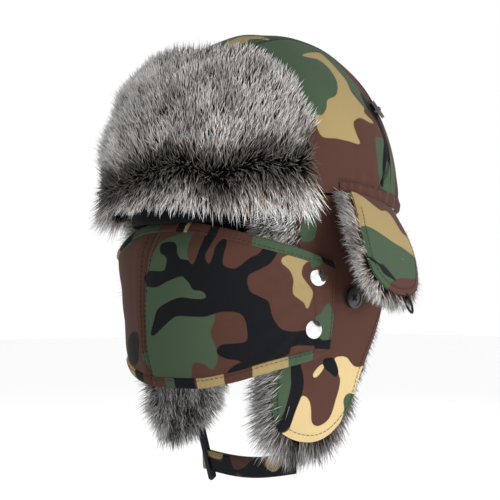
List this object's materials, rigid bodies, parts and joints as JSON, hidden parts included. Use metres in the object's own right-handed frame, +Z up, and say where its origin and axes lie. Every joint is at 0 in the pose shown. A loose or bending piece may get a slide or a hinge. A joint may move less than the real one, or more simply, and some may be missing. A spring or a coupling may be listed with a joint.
{
  "type": "trapper hat",
  "caption": "Soft trapper hat with a fold-up furry front, fur-lined ear flaps with button-up ear covers, a press-stud face mask and a chin strap.",
  "frame": {"origin": "centre of the head opening at the hem", "axes": "the wearer faces -Y, +Z is up and +X is the wearer's left"},
  "size_m": [0.2668, 0.2503, 0.337],
  "materials": {
    "fabric_camo": "matte woven print",
    "wadding": "matte fleece",
    "lining": "satin quilted lining",
    "elastic": "woven elastic",
    "fur": "long pile",
    "cord": "woven tape",
    "hook_tape": "hook and loop",
    "button": "gloss",
    "snap": "polished"
  },
  "bodies": {
    "crown": {"crown_centre_band": "fabric_camo", "crown_side_panel_left": "fabric_camo", "crown_side_panel_right": "fabric_camo", "crown_wadding": "wadding", "crown_lining": "lining", "hem_band": "fabric_camo", "hem_elastic": "elastic", "crown_button_left": "button", "crown_button_right": "button"},
    "front_flap": {"front_flap_shell": "fabric_camo", "front_flap_fur": "fur"},
    "ear_flap_left": {"ear_flap_left_shell": "fabric_camo", "ear_flap_left_fur": "fur", "ear_flap_left_button": "button", "ear_flap_left_studs": "snap"},
    "ear_flap_right": {"ear_flap_right_shell": "fabric_camo", "ear_flap_right_fur": "fur", "ear_flap_right_button": "button", "ear_flap_right_studs": "snap"},
    "ear_cover_left": {"ear_cover_left_shell": "fabric_camo", "ear_cover_left_fur": "fur", "ear_cover_left_loop": "cord"},
    "ear_cover_right": {"ear_cover_right_shell": "fabric_camo", "ear_cover_right_fur": "fur", "ear_cover_right_loop": "cord"},
    "mask_lower_snaps": {"mask_lower_snap_left": "snap", "mask_lower_snap_right": "snap"},
    "mask": {"mask_panel_left": "fabric_camo", "mask_panel_right": "fabric_camo", "mask_lining": "lining", "mask_top_binding": "fabric_camo", "mask_bottom_binding": "fabric_camo", "mask_tab_left": "fabric_camo", "mask_tab_right": "fabric_camo", "mask_upper_snap_left": "snap", "mask_upper_snap_right": "snap"},
    "chin_strap": {"chin_strap": "fabric_camo", "strap_hook_pad": "hook_tape", "strap_loop_pad": "hook_tape"},
    "strap_keeper": {"strap_keeper": "cord"}
  },
  "joints": [
    {"name": "front_flap_fold", "type": "hinge", "parent": "crown", "child": "front_flap", "pos_m": [0, -0.112, -0.003], "axis": [1, 0, 0], "range_deg": [0, 100], "deforming": ["front_flap_shell", "front_flap_fur"]},
    {"name": "ear_flap_left_fold", "type": "hinge", "parent": "crown", "child": "ear_flap_left", "pos_m": [0.088, 0, 0.003], "axis": [0, -1, 0], "range_deg": [0, 150], "deforming": ["ear_flap_left_shell", "ear_flap_left_fur"]},
    {"name": "ear_flap_right_fold", "type": "hinge", "parent": "crown", "child": "ear_flap_right", "pos_m": [-0.088, 0, 0.003], "axis": [0, 1, 0], "range_deg": [0, 150], "deforming": ["ear_flap_right_shell", "ear_flap_right_fur"]},
    {"name": "ear_cover_left_fold", "type": "hinge", "parent": "crown", "child": "ear_cover_left", "pos_m": [0.0892, 0.0314, -0.002], "axis": [0.2274, -0.9623, 0.1495], "range_deg": [0, 155], "deforming": ["ear_cover_left_shell", "ear_cover_left_fur", "ear_cover_left_loop"]},
    {"name": "ear_cover_right_fold", "type": "hinge", "parent": "crown", "child": "ear_cover_right", "pos_m": [-0.0892, 0.0314, -0.002], "axis": [0.2274, 0.9623, -0.1495], "range_deg": [0, 155], "deforming": ["ear_cover_right_shell", "ear_cover_right_fur", "ear_cover_right_loop"]},
    {"name": "mask_pull_off", "type": "slide", "parent": "crown", "child": "mask_lower_snaps", "axis": [0, -1, 0], "range_m": [0, 0.09]},
    {"name": "mask_flip_down", "type": "hinge", "parent": "mask_lower_snaps", "child": "mask", "pos_m": [0, -0.0297, -0.092], "axis": [1, 0, 0], "range_deg": [0, 60], "deforming": ["mask_panel_left", "mask_panel_right", "mask_lining", "mask_top_binding", "mask_bottom_binding", "mask_tab_left", "mask_tab_right"]},
    {"name": "chin_strap_swing", "type": "hinge", "parent": "ear_flap_left", "child": "chin_strap", "pos_m": [0.072, -0.031, -0.183], "axis": [-0.1994, -0.9799, 0], "range_deg": [0, 75], "deforming": ["chin_strap"]},
    {"name": "strap_keeper_swing", "type": "hinge", "parent": "ear_flap_right", "child": "strap_keeper", "pos_m": [-0.0736, -0.0014, -0.1712], "axis": [-0.1994, -0.9799, 0], "range_deg": [-15, 30]}
  ]
}
